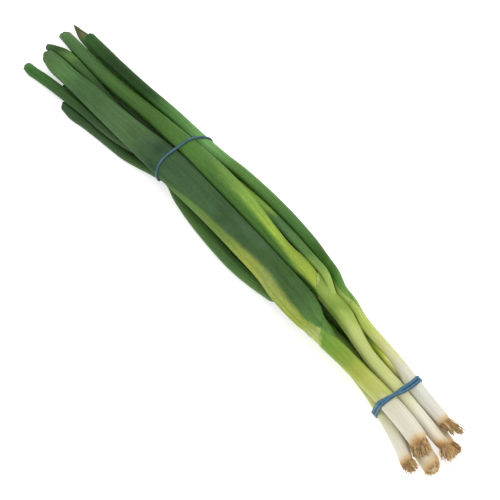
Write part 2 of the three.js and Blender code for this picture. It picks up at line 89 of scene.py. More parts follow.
DRY_WIDTH = 0.12  # what is left of a dry tip's width at its end
DRY_DEPTH = 0.5  # and of its depth
PRESS = 0.55  # how much of its reach into a neighbour a skin gives up
CREVICE_SHADE_RADII = (0.98, 1.3)  # painted shade: a strand is painted dark at the first of these radii of a neighbour and not at the second
LOWEST = 0.02  # no skin goes below this height
SINK_LENGTH = 12.0  # a side leaf sinks into its onion over this length
SINKS = {"onion_3_leaf_2": 24.0}  # where that length is another
SINK = 0.85  # how much of the way to the middle it sinks

ONIONS = range(1, 8)
STEMS = {n: f"onion_{n}_stem" for n in ONIONS}
ROOTS = {n: f"onion_{n}_roots" for n in ONIONS}
LEAVES = sorted(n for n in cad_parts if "_leaf_" in n)


def rgb(text):
    """The linear colour of an sRGB hex text"""
    parts = [int(text[i : i + 2], 16) / 255 for i in (0, 2, 4)]
    return tuple(p / 12.92 if p <= 0.04045 else ((p + 0.055) / 1.055) ** 2.4 for p in parts) + (1.0,)


def ease(value, low, high):
    """0 below low and 1 above high, with a smooth step between"""
    u = np.clip((value - low) / (high - low), 0.0, 1.0)
    return u * u * (3 - 2 * u)


def mix(a, b, u):
    return a + (b - a) * u


class Spline:
    """A smooth curve through rows of values at rising xs. It goes on straight past its ends."""

    def __init__(self, xs, values):
        self.xs = np.asarray(xs, float)
        self.values = np.asarray(values, float)
        self.slopes = np.gradient(self.values, self.xs, axis=0)

    def __call__(self, x):
        x = np.asarray(x, float)
        k = np.clip(np.searchsorted(self.xs, x) - 1, 0, len(self.xs) - 2)
        step = self.xs[k + 1] - self.xs[k]
        u = ((x - self.xs[k]) / step)[..., None]
        step = step[..., None]
        v0, v1 = self.values[k], self.values[k + 1]
        m0, m1 = self.slopes[k] * step, self.slopes[k + 1] * step
        inside = (
            v0 * (1 + 2 * u) * (1 - u) ** 2
            + m0 * u * (1 - u) ** 2
            + v1 * u * u * (3 - 2 * u)
            + m1 * u * u * (u - 1)
        )
        before = v0 + m0 * u
        after = v1 + m1 * (u - 1)
        return np.where(u < 0, before, np.where(u > 1, after, inside))


class Strand:
    """A stem or a leaf: its centre line and its oval section, read from the rings of its CAD solid"""

    def __init__(self, node):
        self.node = node
        self.stem = node.endswith("_stem")
        self.onion = int(node.split("_")[1])
        self.number = 0 if self.stem else int(node.split("_")[3])
        self.seed = self.onion * 10 + self.number
        points = np.array([v.co[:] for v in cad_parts[node].data.vertices]) / MM
        self.start, self.end = points[:, 0].min(), points[:, 0].max()
        levels = np.unique(points[:, 0].round(1))
        first = levels[np.abs(levels - self.start - (0.0 if self.stem else LEAF_RIM)).argmin()]
        last = self.end - (STEM_END if self.stem else LEAF_END)
        off_step = (levels - FIRST_RING + RING_STEP / 2) % RING_STEP - RING_STEP / 2
        shared = levels[(np.abs(off_step) < 0.15) & (levels > first + 0.5) & (levels < last - 0.5)]
        rows = [self.ring(points, x) for x in [first, *shared, last]]
        self.rows = Spline([r[0] for r in rows], [r[1:] for r in rows])

    def ring(self, points, x):
        """x, the centre and the half width and half depth of the section at x"""
        ring = points[np.abs(points[:, 0] - x) < 0.1][:, 1:]
        low, high = ring.min(0), ring.max(0)
        half = (high - low) / 2
        half /= [STEM_POLYGON, STEM_POLYGON] if self.stem else [1.0, LEAF_POLYGON]
        return [x, *(low + high) / 2, *half]

    def at(self, x):
        """Rows of y, z, half width and half depth at x"""
        return self.rows(x)


strands = {node: Strand(node) for node in [*STEMS.values(), *LEAVES]}


# How a strand's visible skin differs from its CAD section

TIPS = {
    # How a leaf's tip is cut: its slope, how much its corners are rounded, how far it is pinched flat.
    # hook: how far it turns to -Y, and bend: over what length. dry: the length that has withered.
    # reach: how much longer it is than its CAD solid.
    "onion_1_leaf_1": {"slope": 1.2, "round": 1.6, "pinch": 0.5},
    "onion_1_leaf_2": {"slope": 1.0, "round": 1.5, "pinch": 0.5},
    "onion_2_leaf_1": {"slope": -1.5, "round": 1.5, "pinch": 0.6},
    "onion_3_leaf_1": {"slope": -1.0, "round": 0.8, "pinch": 0.45},
    "onion_3_leaf_2": {"slope": 0.0, "round": 1.0, "pinch": 0.6, "dry": 4.0, "hook": -0.7, "bend": 16.0},
    "onion_4_leaf_1": {"slope": 1.3, "round": 1.9, "pinch": 0.25, "reach": 2.0, "hook": -1.0, "bend": 50.0},
    "onion_4_leaf_2": {"slope": 1.6, "round": 0.8, "pinch": 0.6, "hook": -1.1, "bend": 34.0},
    "onion_5_leaf_1": {"slope": 0.4, "round": 1.3, "pinch": 0.6},
    "onion_5_leaf_2": {"slope": 0.5, "round": 1.2, "pinch": 0.6},
    "onion_6_leaf_1": {"slope": 0.0, "round": 1.0, "pinch": 0.35, "hook": 2.0, "bend": 10.0},
    "onion_7_leaf_1": {"slope": 1.2, "round": 1.5, "pinch": 0.5},
}

MOUTHS = {
    # Where a sheath opens. open: the direction of the opening round the stem. slope: that of its edge.
    # shift: how much further along the stem the edge is than in its CAD solid.
    1: {"open": 250.0, "slope": 0.9},
    2: {"open": 250.0, "slope": 0.8},
    3: {"open": 40.0, "slope": 1.0, "shift": 2.0},
    4: {"open": 185.0, "slope": 1.0, "shift": -3.0},
    5: {"open": 210.0, "slope": 0.7},
    6: {"open": 280.0, "slope": 0.8},
    7: {"open": 300.0, "slope": 0.9},
}
PROUD = 0.12  # how far a sheath's edge stands over the leaf in it
SHEATH_LIFT = 0.04  # and the rest of the sheath
MOUTH_FADE = 26.0  # the shape of an open end fades out over this length of a stem
TIP_FADE = 14.0  # and over this length of a leaf
SWELLS = [  # where a strand swells: its middle, its length, and how far its +Y side and its top move out
    ("onion_3_leaf_1", 44.0, 8.0, 0.8, 0.0),
    ("onion_3_leaf_2", -186.0, 4.5, 0.8, 0.0),
    ("onion_3_stem", 90.0, 16.0, 1.0, 0.0),
    ("onion_3_stem", 133.0, 14.0, 1.0, 0.0),
    ("onion_4_leaf_1", 76.0, 7.0, -1.2, 0.0),
    ("onion_4_leaf_1", 89.0, 6.0, 1.8, 0.0),
    ("onion_4_stem", 89.0, 6.0, 1.8, 0.0),
    ("onion_4_leaf_1", -146.0, 14.0, 1.2, 0.0),
    ("onion_6_leaf_1", -162.0, 26.0, 1.5, 0.0),
    ("onion_4_leaf_2", -140.0, 12.0, 0.7, 0.0),
    ("onion_2_stem", 126.0, 15.0, 0.0, 3.0),
]
CREVICE_SHADE_FADING_PAIR = {1, 3}  # onions between whose stems the painted crevice shade fades out, so no dark line shows
CREVICE_SHADE_FADING_XS = (60.0, 78.0)  # over which x that painted shade fades out
VISIBLE_SIDE = math.radians(110.0)  # the direction round a strand that faces the camera

angles = 2 * math.pi * np.arange(SIDES) / SIDES

# Waves round a strand, as how many and how high: of its skin, as a share of its radius, and of its open end
RIDGES = ((2, 0.012), (3, 0.016), (5, 0.012), (8, 0.009), (13, 0.006))
RAGGED = ((3, 0.25), (7, 0.22), (12, 0.16), (19, 0.1))
SHEATH_RAGGED = 0.4  # a sheath's edge is that much as ragged as a leaf's tip


def facing(direction):
    """1 on the side of a strand that looks in this direction round it, 0 on the other side"""
    return 0.5 + 0.5 * np.cos(angles - math.radians(direction))


def section(strand, x):
    """The visible centre, half width and half depth at x, before the strands are pressed together"""
    y, z, a, b = np.moveaxis(strand.at(x), -1, 0)
    a, b = a + PLUMP, b + PLUMP
    main = strands[STEMS[strand.onion]]
    if strand.number == 1:
        fit = ease(x, main.start - MOUTH_BLEND, main.start)
        held = main.at(np.maximum(x, main.start))
        a = mix(a, held[..., 2] + PLUMP, fit)
        b = mix(b, held[..., 3] + PLUMP, fit)
    for node, place, length, side, top in SWELLS:
        if node == strand.node:
            swell = np.exp(-(((x - place) / length) ** 2)) / 2
            y, a = y + swell * side, a + swell * side
            z, b = z + swell * top, b + swell * top
    if strand.number > 1:
        leaf = strands[f"onion_{strand.onion}_leaf_1"]
        sink = ease(x, strand.end - SINKS.get(strand.node, SINK_LENGTH), strand.end + 4)
        to = np.where((x < main.start)[..., None], leaf.at(x), main.at(x))
        y, z = mix(y, to[..., 0], sink * SINK), mix(z, to[..., 1], sink * SINK)
    tip = TIPS.get(strand.node)
    if tip:
        near = 1 - ease(x, strand.start, strand.start + PINCH_LENGTH)
        b = b * (1 - tip["pinch"] * near * PINCH)
        if "hook" in tip:
            bend = 1 - ease(x, strand.start - tip["bend"], strand.start + tip["bend"])
            y = y - tip["hook"] * 2 * bend
            a = a * (1 - HOOK_THINS * abs(tip["hook"]) * bend)
        if "dry" in tip:
            from_tip = np.clip((x - strand.start) / tip["dry"], 0.0, 1.0)
            a = a * mix(DRY_WIDTH, 1.0, np.sqrt(1 - (1 - from_tip) ** 2))
            b = b * mix(DRY_DEPTH, 1.0, from_tip)
    return y, z, a, b


def ridges(strand, x):
    """The uneven round of a strand, as a factor of its radius: a row for each x"""
    draw = np.random.default_rng(strand.seed)
    total = np.zeros((len(x), SIDES))
    for waves, height in RIDGES:
        phase = draw.uniform(0, 2 * math.pi)
        drift = draw.uniform(-0.012, 0.012)
        swell = 0.7 + 0.5 * np.sin(x * draw.uniform(0.02, 0.05) + draw.uniform(0, 6))
        turn = waves * angles[None, :] + phase + (drift * x)[:, None]
        total += height * swell[:, None] * np.cos(turn)
    return 1 + total


def rim_shift(strand):
    """How far each place round the strand's open end lies from its start"""
    draw = np.random.default_rng(strand.seed + 500)
    ragged = sum(height * np.cos(waves * angles + draw.uniform(0, 6)) for waves, height in RAGGED)
    if strand.stem:
        mouth = MOUTHS[strand.onion]
        reach = strand.at(strand.start)[2] * mouth["slope"]
        return mouth.get("shift", 0.0) - reach * np.cos(angles) + SHEATH_RAGGED * ragged
    tip = TIPS[strand.node]
    across = np.sin(angles - VISIBLE_SIDE)
    return tip["slope"] * across + tip["round"] * across**2 + ragged - tip.get("reach", 0.0)


def main_rim(onion):
    """Where an onion's outer sheath begins, for each place round it"""
    stem = strands[STEMS[onion]]
    return stem.start + rim_shift(stem)


def skin_rows(strand):
    """The rows of a skin, as the x of each and how far in from the outside it lies"""
    wall = SHEATH_WALL if strand.stem else LEAF_WALL
    rows = [(x, wall) for x in np.linspace(strand.start + TIP_DEPTH, strand.start + 0.5, INNER_ROWS)]
    rows += [(strand.start + along * wall, inset * wall) for along, inset in RIM_ROWS]
    step = STEM_ROW if strand.stem else LEAF_ROW
    last = strand.end - (STEM_END if strand.stem else 0.0)
    if strand.number == 1:
        last = strands[STEMS[strand.onion]].start + INNER_REACH
    count = int((last - strand.start) / step)
    rows += [(x, 0.0) for x in np.linspace(strand.start + RIM_ROWS[0][0] * wall, last, count)]
    if strand.stem:
        rows += [(strand.end - back, inset) for back, inset in STEM_END_ROWS]
    return np.array(rows)


def press(strand, x, points, skip):
    """Flattens a strand's skin where it would lie in a neighbour, and says how much painted shade each
    point gets for being near one
    """
    crevice_shade = np.zeros(points.shape[:2])
    for other in strands.values():
        if other is strand or other.node in skip:
            continue
        inside = (x > other.start - 1) & (x < other.end + 1)
        if not inside.any():
            continue
        y, z, a, b = section(other, x)
        dy = (points[..., 1] - y[:, None]) / a[:, None]
        dz = (points[..., 2] - z[:, None]) / b[:, None]
        level = np.sqrt(dy**2 + dz**2) + 1e-6
        depth = np.clip(1 - level, 0, 0.6) * inside[:, None]
        shade_span = inside * (1 - ease(x, *CREVICE_SHADE_FADING_XS)) if {strand.onion, other.onion} == CREVICE_SHADE_FADING_PAIR else inside
        crevice_shade = np.maximum(crevice_shade, (1 - ease(level, *CREVICE_SHADE_RADII)) * shade_span[:, None])
        points[..., 1] += PRESS * depth * dy / level * a[:, None]
        points[..., 2] += PRESS * depth * dz / level * b[:, None]
    return crevice_shade


def partners(strand):
    """The strands that this one joins or is in, which don't flatten it"""
    own = f"onion_{strand.onion}_"
    return {n for n in strands if n.startswith(own)}


def skin(strand):
    """The rows of a strand's skin, its points, and how much painted crevice shade each gets for being near
    a neighbour
    """
    rows = skin_rows(strand)
    x, inset = rows.T
    y, z, a, b = section(strand, x)
    if strand.stem:
        fade = 1 - ease(x, strand.start, strand.start + MOUTH_FADE)
        opened = facing(MOUTHS[strand.onion]["open"]) ** 2
        lift = PROUD * fade[:, None] * opened[None, :] + SHEATH_LIFT
    else:
        fade = 1 - ease(x, strand.start, strand.start + TIP_FADE)
        lift = np.zeros((len(x), SIDES))
    if strand.number == 1:
        rim = main_rim(strand.onion)
        opened = facing(MOUTHS[strand.onion]["open"]) ** 2
        under = mix(UNDER_CLOSED, UNDER_OPEN, opened)
        lift = lift - under * ease(x[:, None], rim - 3.5, rim + 0.5)
        lift = lift - INNER_DEPTH * ease(x[:, None], rim + 0.3, rim + 5.0)
    round_off = ridges(strand, x)
    if strand.number == 1:
        main = strands[STEMS[strand.onion]]
        near_mouth = ease(x, main.start - MOUTH_BLEND, main.start - 4)[:, None]
        round_off = mix(round_off, ridges(main, x), near_mouth)
    ya = (a - inset)[:, None] * round_off + lift
    zb = (b - inset)[:, None] * round_off + lift
    points = np.empty((len(x), SIDES, 3))
    points[..., 0] = x[:, None] + fade[:, None] * rim_shift(strand)[None, :]
    points[..., 1] = y[:, None] + ya * np.cos(angles)
    points[..., 2] = z[:, None] + zb * np.sin(angles)
    crevice_shade = press(strand, x, points, partners(strand))
    points[..., 2] = np.maximum(points[..., 2], LOWEST + inset[:, None])
    return rows, points, crevice_shade


# Meshes


def tube_faces(rows, sides):
    """The four-cornered faces of a tube, in rows of points"""
    i = np.arange(rows - 1)[:, None] * sides
    j = np.arange(sides)[None, :]
    k = (j + 1) % sides
    return np.stack([i + j, i + k, i + sides + k, i + sides + j], -1).reshape(-1, 4).tolist()


def make_piece(name, points, faces, material, slot, replaces=(), **marks):
    """A mesh object of points in mm, whose marks are values at its points that the material reads"""
    mesh = bpy.data.meshes.new(name)
    mesh.from_pydata((points.reshape(-1, 3) * MM).tolist(), [], faces)
    for mark, values in marks.items():
        values = np.asarray(values, np.float32)
        kind, key = ("FLOAT_VECTOR", "vector") if values.shape[-1:] == (3,) else ("FLOAT", "value")
        mesh.attributes.new(mark, kind, "POINT").data.foreach_set(key, values.ravel())
    mesh.polygons.foreach_set("use_smooth", [True] * len(mesh.polygons))
    mesh.materials.append(material)
    piece = bpy.data.objects.new(name, mesh)
    bpy.context.scene.collection.objects.link(piece)
    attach(piece, "root")
    if replaces:
        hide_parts(*replaces)
    return piece


# Materials


class Shader:
    """A material's nodes, added one at a time"""

    def __init__(self, name):
        self.material = bpy.data.materials.new(name)
        self.material.use_nodes = True
        self.tree = self.material.node_tree
        self.surface = self.tree.nodes["Principled BSDF"]

    def node(self, kind, inputs=(), **settings):
        made = self.tree.nodes.new(kind)
        for key, value in settings.items():
            setattr(made, key, value)
        for key, value in dict(inputs).items():
            self.put(value, made.inputs[key])
        return made

    def put(self, value, socket):
        if isinstance(value, bpy.types.NodeSocket):
            self.tree.links.new(value, socket)
        else:
            socket.default_value = value

    def mark(self, name, output="Fac"):
        return self.node("ShaderNodeAttribute", attribute_name=name).outputs[output]

    def noise(self, scale, detail=3.0, rough=0.5, stretch=(1.0, 1.0, 1.0), mark="grain"):
        """Noise from -1 to 1 or so, in straightened millimetres along a strand"""
        mapped = self.node(
            "ShaderNodeMapping", {"Vector": self.mark(mark, "Vector"), "Scale": stretch}
        )
        made = self.node(
            "ShaderNodeTexNoise",
            {"Vector": mapped.outputs[0], "Scale": scale, "Detail": detail, "Roughness": rough},
        )
        return made.outputs["Fac"]

    def maths(self, operation, a, b, clamp=False):
        made = self.node("ShaderNodeMath", {0: a, 1: b}, operation=operation, use_clamp=clamp)
        return made.outputs[0]

    def spread(self, value, low, high, to_low=0.0, to_high=1.0):
        made = self.node(
            "ShaderNodeMapRange",
            {"Value": value, "From Min": low, "From Max": high, "To Min": to_low, "To Max": to_high},
            interpolation_type="SMOOTHSTEP",
        )
        return made.outputs["Result"]

    def ramp(self, value, stops):
        """A colour ramp over places, which are (place, colour)"""
        low, high = stops[0][0], stops[-1][0]
        share = self.node(
            "ShaderNodeMapRange", {"Value": value, "From Min": low, "From Max": high}
        )
        made = self.node("ShaderNodeValToRGB", {"Fac": share.outputs["Result"]})
        made.color_ramp.interpolation = "EASE"
        elements = made.color_ramp.elements
        while len(elements) < len(stops):
            elements.new(0.5)
        for element, (place, colour) in zip(elements, stops):
            element.position = (place - low) / (high - low)
            element.color = colour
        return made.outputs["Color"]

    def blend(self, factor, a, b, how="MIX"):
        made = self.node("ShaderNodeMix", data_type="RGBA", blend_type=how)
        self.put(factor, made.inputs["Factor"])
        self.put(a, made.inputs[6])
        self.put(b, made.inputs[7])
        return made.outputs[2]

    def bump(self, height, distance, strength=1.0, normal=None):
        inputs = {"Height": height, "Distance": distance, "Strength": strength}
        if normal is not None:
            inputs["Normal"] = normal
        return self.node("ShaderNodeBump", inputs).outputs["Normal"]


FINE = 1000.0  # noise scale for mm, because shader lengths are in metres
ALONG = 0.03  # how much shorter a pattern is along a strand than across it

KINDS = {
    # veins and bloom: how strong they are. rough: the roughness. glow: how much light gets into the flesh.
    # edge: the colour at an open end.
    "stem": {"veins": 0.28, "rough": 0.4, "glow": 0.2, "bloom": 0.0, "edge": "b6c274"},
    "leaf": {"veins": 0.8, "rough": 0.48, "glow": 0.06, "bloom": 0.3, "edge": "2c4a1c"},
    "dry_leaf": {"veins": 0.7, "rough": 0.6, "glow": 0.06, "bloom": 0.2, "edge": "3a2c18"},
}
BLOOM_COLOUR = rgb("5d7c5a")
CREVICE_SHADE_COLOUR = rgb("16300a")  # painted shade where strands touch
CREVICE_SHADE_END = (130.0, 165.0)  # this painted darkening fades out over these xs
CREVICE_SHADE_ENDS = {1: (110.0, 140.0), 2: (96.0, 116.0)}  # and over others on these onions
BASE_COLOURS = [(0.0, rgb("ddcfb4")), (0.5, rgb("cbac7c")), (1.0, rgb("9a7040"))]


def run_of_colour(s, look, wander):
    """Colours along the strand, and a second run of them where the mark `tone` says"""
    place = s.maths("ADD", s.mark("along"), s.spread(wander, 0.3, 0.7, -0.004, 0.004))
    colour = s.ramp(place, [(x * MM, rgb(c)) for x, c in look["stops"]])
    if "second" in look:
        tone = s.maths("ADD", s.mark("tone"), s.spread(wander, 0.3, 0.7, -0.14, 0.14))
        other = s.ramp(place, [(x * MM, rgb(c)) for x, c in look["second"]])
        colour = s.blend(s.spread(tone, 0.1, 0.9), colour, other)
    return colour


def veined(s, colour, streaks, fine, strength):
    """The same colour with lighter and darker veins along it, and small blotches"""
    blotches = s.noise(0.9 * FINE, 2.0, 0.6, (1.0, 1.0, 0.45))
    broad = s.spread(streaks, 0.25, 0.75, 1.0 - 0.26 * strength, 1.0 + 0.2 * strength)
    thin = s.spread(fine, 0.2, 0.8, 1.0 - 0.24 * strength, 1.0 + 0.18 * strength)
    uneven = s.spread(blotches, 0.2, 0.8, 1.0 - 0.17 * strength, 1.0 + 0.17 * strength)
    shade = s.maths("MULTIPLY", s.maths("MULTIPLY", broad, thin), uneven)
    grey = s.node("ShaderNodeCombineColor", {"Red": shade, "Green": shade, "Blue": shade})
    return s.blend(1.0, colour, grey.outputs[0], "MULTIPLY")


def strand_material(name, look, kind):
    """Living skin, with fine veins, a pale bloom on the green, painted shade where strands touch, and a tan
    base where the roots begin
    """
    s = Shader(name)
    look_of_kind = KINDS[kind]
    wander = s.noise(0.09 * FINE, 3.0, 0.6, (1.0, 1.0, 0.25))
    streaks = s.noise(0.55 * FINE, 4.0, 0.6, (1.0, 1.0, ALONG))
    fine = s.noise(1.7 * FINE, 3.0, 0.6, (1.0, 1.0, ALONG * 0.6))
    patches = s.noise(0.12 * FINE, 4.0, 0.65, (1.0, 1.0, 0.3))
    colour = veined(s, run_of_colour(s, look, wander), streaks, fine, look_of_kind["veins"])
    bloom = s.maths("MULTIPLY", s.spread(patches, 0.35, 0.75, 0.0, look_of_kind["bloom"]), s.mark("wax"))
    colour = s.blend(bloom, colour, BLOOM_COLOUR)
    # painted shade: strands darken where they lie close against a neighbour
    colour = s.blend(s.spread(s.mark("crevice_shade"), 0.0, 1.0, 0.0, 0.75), colour, CREVICE_SHADE_COLOUR)
    edge = s.maths("ADD", s.mark("rim"), s.spread(streaks, 0.3, 0.7, -0.2, 0.15))
    colour = s.blend(s.spread(edge, 0.2, 0.9), colour, rgb(look_of_kind["edge"]))
    if kind == "stem":
        base = s.maths("ADD", s.mark("base"), s.spread(wander, 0.3, 0.7, -0.12, 0.12))
        colour = s.blend(s.spread(base, 0.0, 0.75), colour, s.ramp(base, BASE_COLOURS))
    s.put(colour, s.surface.inputs["Base Color"])
    rough = look_of_kind["rough"]
    s.put(s.spread(patches, 0.3, 0.7, rough - 0.07, rough + 0.1), s.surface.inputs["Roughness"])
    relief = s.bump(streaks, 0.0003, 0.5)
    relief = s.bump(fine, 0.00014, 0.5, relief)
    s.put(relief, s.surface.inputs["Normal"])
    s.surface.inputs["Subsurface Weight"].default_value = look_of_kind["glow"]
    s.surface.inputs["Subsurface Radius"].default_value = (1.0, 1.0, 0.5)
    s.surface.inputs["Subsurface Scale"].default_value = 0.0015
    s.surface.inputs["Specular IOR Level"].default_value = 0.25
    return s.material


# The colours along each strand, as (x, colour). The second run shows where tone_of says.
INNER_STEM = [
    (60, "3c5a1c"), (92, "3f5c1a"), (108, "56701f"), (126, "a9b45c"),
    (140, "c6ca8a"), (152, "d2d2a8"), (164, "d8d2bc"), (190, "d8ccb0"),
]  # fmt: skip
DARK_LEAF = [(-190, "3e6030"), (-150, "3a5a2c"), (-60, "3c5a2e"), (60, "3e602c")]
LOOKS = {
    "onion_1_stem": {
        "stops": [
            (80, "9ab450"), (91, "b0c062"), (104, "b0c05c"), (116, "c2c87a"),
            (128, "d0d09c"), (140, "d6d4c0"), (156, "d5d4c8"), (180, "dad3c5"),
        ],
        "second": [(82, "5e8834"), (92, "82a450"), (102, "a0b85c"), (112, "b4c466")],
    },
    # onion 2's stem: the near-white stops from x 128 are painted light, paler than the stem's own colour to
    # make up for the shade of the groove it lies in
    "onion_2_stem": {
        "stops": [
            (90, "647a26"), (108, "8ca43a"), (118, "9cb230"), (128, "e2e488"), (138, "fbf8c8"),
            (190, "dcd2b8"),
        ]
    },
    "onion_3_stem": {
        "stops": [
            (60, "7d9a3e"), (74, "8aa446"), (83, "7f9c3e"), (92, "9fb356"), (104, "b8c474"),
            (126, "bfc77c"), (140, "c9cd8c"), (152, "dadab6"), (164, "e2ddcb"), (190, "ddd0b8"),
        ]
    },
    "onion_4_stem": {
        "stops": [
            (88, "659031"), (104, "76962f"), (112, "849c3a"), (124, "a2ac46"), (134, "aeb758"),
            (144, "b4bc64"), (154, "d2d0b8"), (164, "d9d5c2"), (190, "dad2be"),
        ],
        "second": [(84, "4e762e"), (106, "4c7228")],
    },
    "onion_5_stem": {
        "stops": [
            (60, "4c6a24"), (120, "8c9c44"), (140, "b8bc78"), (154, "d0d0ac"), (168, "ded9c6"),
            (190, "dccfb4"),
        ]
    },
    "onion_6_stem": {"stops": INNER_STEM},
    "onion_7_stem": {"stops": INNER_STEM},
    "onion_1_leaf_1": {
        "stops": [
            (-180, "29541a"), (-160, "22480e"), (-147, "193b08"), (-118, "1b430a"), (-88, "52823c"),
            (-59, "6c9e58"), (-30, "568038"), (24, "466f30"), (50, "2c5809"), (60, "54801f"),
            (68, "86a444"), (80, "a0b858"), (91, "aabc60"),
        ],
        "second": [(50, "2c5809"), (60, "37640f"), (70, "4c7a22"), (84, "6a9440"), (92, "82a450")],
    },
    "onion_1_leaf_2": {
        "stops": [(-190, "5e6c34"), (-180, "466a34"), (-60, "4a7030"), (27, "6f9030"), (60, "486c26")]
    },
    "onion_3_leaf_1": {
        "stops": [
            (-196, "5c7c44"), (-184, "476d37"), (-118, "406524"), (-60, "4a7429"), (-31, "406822"),
            (10, "3e6a1c"), (66, "42701e"),
        ],
        "second": [
            (-90, "4e7830"), (-50, "557e34"), (-28, "668c3a"), (-8, "84a640"), (20, "98b63e"),
            (35, "8ca436"), (66, "9aac40"),
        ],
    },
    "onion_3_leaf_2": {
        "stops": [
            (-196, "4c4a30"), (-191, "46562c"), (-187, "6c6844"), (-184, "4e7434"), (-60, "4c7030"),
            (-25, "7c9c3a"), (0, "7a9a3a"), (10, "466a3a"), (40, "547a3c"), (54, "7c9c48"),
            (64, "98b254"), (81, "a2ba5a"),
        ]
    },
    "onion_4_leaf_1": {
        "stops": [
            # the dark stop at x -72, beside the upper band, is painted shade of the band
            (-190, "4a6a34"), (-171, "4f763c"), (-150, "3a5e2c"), (-100, "42622f"), (-84, "34532a"),
            (-72, "1b3a1a"), (-60, "33522c"), (-31, "385a30"), (-4, "2e4b20"), (10, "2a4b1b"),
            (60, "345418"), (82, "4e762e"), (96, "4c7429"),
        ],
        "second": [
            (-60, "446428"), (-31, "5c7c34"), (-4, "6c8630"), (27, "98a43c"), (45, "98a44c"),
            (76, "94a43e"), (92, "a6b664"),
        ],
    },
    "onion_4_leaf_2": {
        "stops": [
            (-152, "25441c"), (-110, "2c4d20"), (-60, "36591c"), (-17, "486c28"), (10, "436830"),
            (40, "4f7330"),
        ]
    },
    "onion_5_leaf_1": {
        "stops": [
            (-196, "467e38"), (-186, "356420"), (-150, "2b4c17"), (-125, "28461c"), (-100, "32502a"),
            (80, "3c5a24"),
        ]
    },
    # onion 6's first leaf: the dark stops from x -140 on are painted shade where it lies beneath other
    # leaves
    "onion_6_leaf_1": {
        "stops": [
            (-196, "4a6a34"), (-188, "264a0c"), (-179, "547a36"), (-166, "3a5c28"), (-140, "26441a"),
            (80, "3c5a24"),
        ]
    },
    "onion_7_leaf_1": {"stops": [(-160, "4a6c38"), (-90, "46683a"), (80, "3c5a24")]},
}
DEFAULT_LOOK = {"stops": DARK_LEAF}
# How much pale bloom a strand has
WAX = {"onion_1_leaf_1": 0.1, "onion_3_leaf_1": 0.3, "onion_3_leaf_2": 0.8, "onion_4_leaf_1": 1.0}
USUAL_WAX = 0.5


def grain_of(strand, rows, points):
    """Each point's place on the straightened strand, in metres"""
    grain = np.empty(points.shape)
    grain[..., 0] = 5.5 * np.cos(angles)
    grain[..., 1] = 5.5 * np.sin(angles)
    grain[..., 2] = rows[:, :1] + strand.seed * 37.0
    return grain * MM


SHEATH_EDGE = (1.0, 4.0)  # the edge's own colour fades out over this length
TIP_EDGE = (0.2, 1.8)


def near_edge(strand, rows):
    """1 at the open end's edge, falling to 0 over a short way"""
    from_edge = rows[:, 0] - strand.start
    edge = 1 - ease(from_edge, *(SHEATH_EDGE if strand.stem else TIP_EDGE))
    edge = np.repeat(edge[:, None], SIDES, 1)
    if strand.stem:
        edge = edge * np.clip(facing(MOUTHS[strand.onion]["open"]) * 1.8 - 0.7, 0, 0.6)
    return edge


# Where the second run of colours shows on a strand, in degrees round it and in x along it
DARK_TOP = {  # onion 1's dark upper side: how far round it reaches at each x
    "x": [60, 70, 76, 82, 88, 94, 101, 107, 112],
    "edge": [165, 130, 118, 102, 88, 62, 50, 20, -50],
}
BRIGHT_EDGE = {  # the yellow side of onion 3's first leaf: half its spread at each x
    "x": [-70, -31, -10, 10, 30, 50],
    "half": [46, 62, 62, 56, 62, 104],
}
PALE_STRIP = {  # the pale strip on onion 4's first leaf: half its spread at each x
    "x": [-60, -31, -4, 10, 40, 76, 86, 94, 100],
    "half": [16, 38, 48, 54, 62, 59, 64, 104, 140],
}
DARK_PATCH = {  # the dark start of onion 4's stem: how far along it reaches in each direction round it
    "round": [20, 45, 66, 90, 110, 140, 300, 360],
    "reach": [104, 100, 96, 90, 85, 72, 72, 104],
}
DARK_TOP_START = -70.0  # where round onion 1 its dark side begins
BRIGHT_SIDE = 30.0  # the middle of the yellow side
PALE_SIDE = 172.0  # the middle of the pale strip


def off_angle(degrees):
    """How far each place round a strand is from a direction, which may differ along the strand"""
    return np.abs((np.degrees(angles)[None, :] - degrees + 180.0) % 360.0 - 180.0)


def tone_of(strand, x):
    """Where the second run of colours shows"""
    if strand.node == "onion_4_leaf_1":
        half = np.interp(x, PALE_STRIP["x"], PALE_STRIP["half"])
        return (1 - ease(off_angle(PALE_SIDE), half - 18, half + 16)) * ease(x, -100, -30)
    if strand.node == "onion_4_stem":
        edge = np.interp(np.degrees(angles), DARK_PATCH["round"], DARK_PATCH["reach"])[None, :]
        return 1 - ease(x, edge - 6, edge + 6)
    if strand.node == "onion_3_leaf_1":
        half = np.interp(x, BRIGHT_EDGE["x"], BRIGHT_EDGE["half"])
        return (1 - ease(off_angle(BRIGHT_SIDE), half - 32, half + 34)) * ease(x, -100, -40)
    if strand.onion == 1 and strand.number < 2:
        edge = np.interp(x, DARK_TOP["x"], DARK_TOP["edge"])
        half = (edge - DARK_TOP_START) / 2
        return (1 - ease(off_angle(edge - half), half - 12, half + 12)) * ease(x, 50, 60)
    return np.zeros(x.shape)


TAN_FROM = -9.5  # from the stem's end
TAN_TO = 1.5


def base_of(strand, points):
    """How near the roots a stem is: 0 on the white and 1 on the tan base"""
    across = points[..., 1] - strand.at(strand.end - STEM_END)[0]
    x = points[..., 0] - TUFTS[strand.onion]["slant"] * across if strand.stem else points[..., 0]
    return ease(x, strand.end + TAN_FROM, strand.end + TAN_TO)


